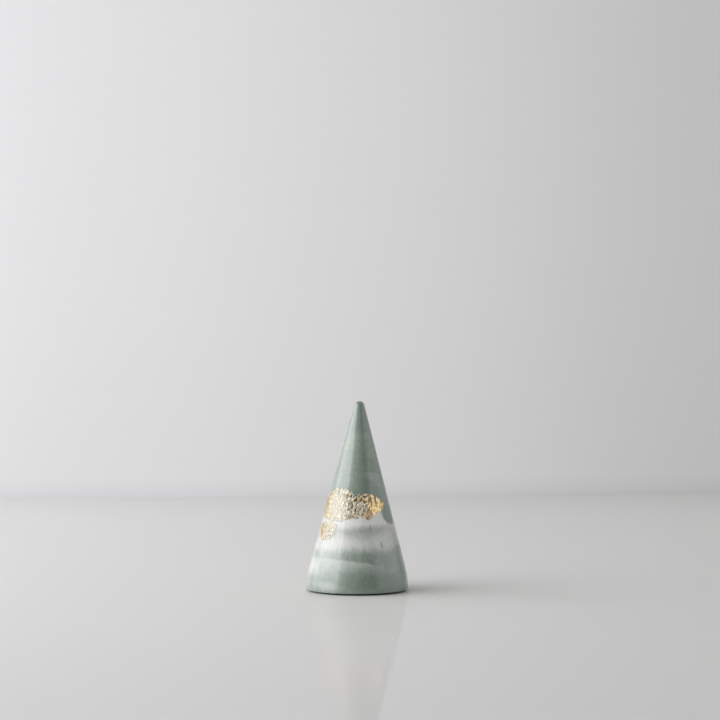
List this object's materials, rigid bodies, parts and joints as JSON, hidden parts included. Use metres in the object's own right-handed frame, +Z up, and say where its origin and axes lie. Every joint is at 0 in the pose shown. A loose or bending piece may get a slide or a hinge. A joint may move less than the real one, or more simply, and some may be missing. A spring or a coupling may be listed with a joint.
{
  "type": "ring cone holder",
  "caption": "Slim upright cone of glossy marbled green and white clay with torn gold leaf on its front, standing on a thin felt pad, for dropping finger rings over.",
  "frame": {"origin": "on the table, at the middle of the foot's underside, level with the bottom of the felt pad", "axes": "+Z up along the cone to its tip, -Y towards the front with the gold leaf, +X to the right seen from the front"},
  "size_m": [0.0544, 0.0544, 0.1],
  "materials": {
    "marbled_clay": "sage green and white marbled clay, sealed to a high gloss",
    "pad_felt": "thin dark pressed felt",
    "gold_leaf": "crackled metallic gold leaf"
  },
  "bodies": {
    "root": {"cone_body": "marbled_clay", "base_pad": "pad_felt", "gold_leaf_left": "gold_leaf", "gold_leaf_right": "gold_leaf", "gold_leaf_tail": "gold_leaf"}
  },
  "joints": []
}
